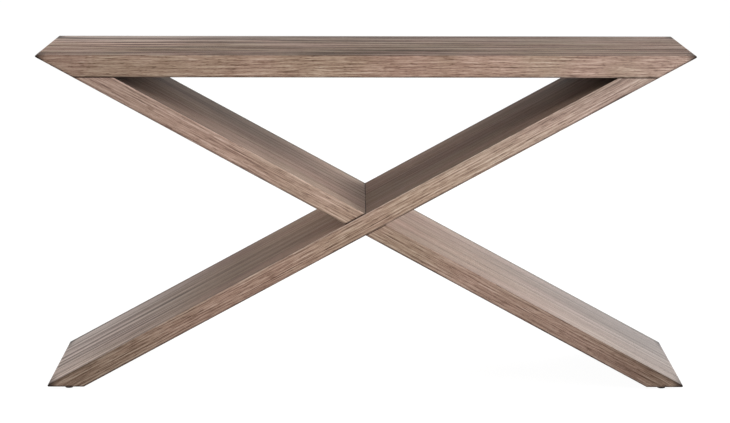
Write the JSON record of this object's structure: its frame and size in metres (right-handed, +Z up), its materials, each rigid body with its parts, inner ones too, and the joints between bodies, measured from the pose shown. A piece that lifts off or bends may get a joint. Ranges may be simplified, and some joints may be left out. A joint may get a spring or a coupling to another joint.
{
  "type": "sawbuck console table",
  "caption": "Long narrow oak table: a thick top with ends bevelled to meet two wide plank legs halved into an X, on adjustable levelers.",
  "frame": {"origin": "on the floor under the middle of the table, in the plane of the leveler pads' undersides", "axes": "+X along the top to the right as seen from the front, +Y from the front to the back, +Z up"},
  "size_m": [1.517, 0.457, 0.787],
  "materials": {
    "weathered_oak": "grey-brown weathered stain, brushed grain, matte",
    "beech": "raw planed beech, glued in",
    "plated_steel": "bright zinc plate",
    "insert_brass": "plain turned brass",
    "black_nylon": "black moulded nylon"
  },
  "bodies": {
    "table": {"left_leg_board_1_lower": "weathered_oak", "left_leg_board_1_upper": "weathered_oak", "left_leg_board_2_lower": "weathered_oak", "left_leg_board_2_upper": "weathered_oak", "left_leg_board_3": "weathered_oak", "left_leg_board_4": "weathered_oak", "left_leg_board_5": "weathered_oak", "left_leg_tenons": "beech", "leveler_inserts": "insert_brass", "right_leg_board_1": "weathered_oak", "right_leg_board_2": "weathered_oak", "right_leg_board_3": "weathered_oak", "right_leg_board_4_lower": "weathered_oak", "right_leg_board_4_upper": "weathered_oak", "right_leg_board_5_lower": "weathered_oak", "right_leg_board_5_upper": "weathered_oak", "right_leg_tenons": "beech", "top_board_1": "weathered_oak", "top_board_2": "weathered_oak", "top_board_3": "weathered_oak", "top_board_4": "weathered_oak", "top_board_5": "weathered_oak"},
    "front_left_leveler": {"front_left_leveler_pad": "black_nylon", "front_left_leveler_stem": "plated_steel"},
    "front_right_leveler": {"front_right_leveler_pad": "black_nylon", "front_right_leveler_stem": "plated_steel"},
    "back_left_leveler": {"back_left_leveler_pad": "black_nylon", "back_left_leveler_stem": "plated_steel"},
    "back_right_leveler": {"back_right_leveler_pad": "black_nylon", "back_right_leveler_stem": "plated_steel"}
  },
  "joints": [
    {"name": "front_left_leveler_screw", "type": "slide", "parent": "table", "child": "front_left_leveler", "axis": [0, 0, -1], "range_m": [-0.0013, 0.01]},
    {"name": "front_right_leveler_screw", "type": "slide", "parent": "table", "child": "front_right_leveler", "axis": [0, 0, -1], "range_m": [-0.0013, 0.01]},
    {"name": "back_left_leveler_screw", "type": "slide", "parent": "table", "child": "back_left_leveler", "axis": [0, 0, -1], "range_m": [-0.0013, 0.01]},
    {"name": "back_right_leveler_screw", "type": "slide", "parent": "table", "child": "back_right_leveler", "axis": [0, 0, -1], "range_m": [-0.0013, 0.01]}
  ]
}
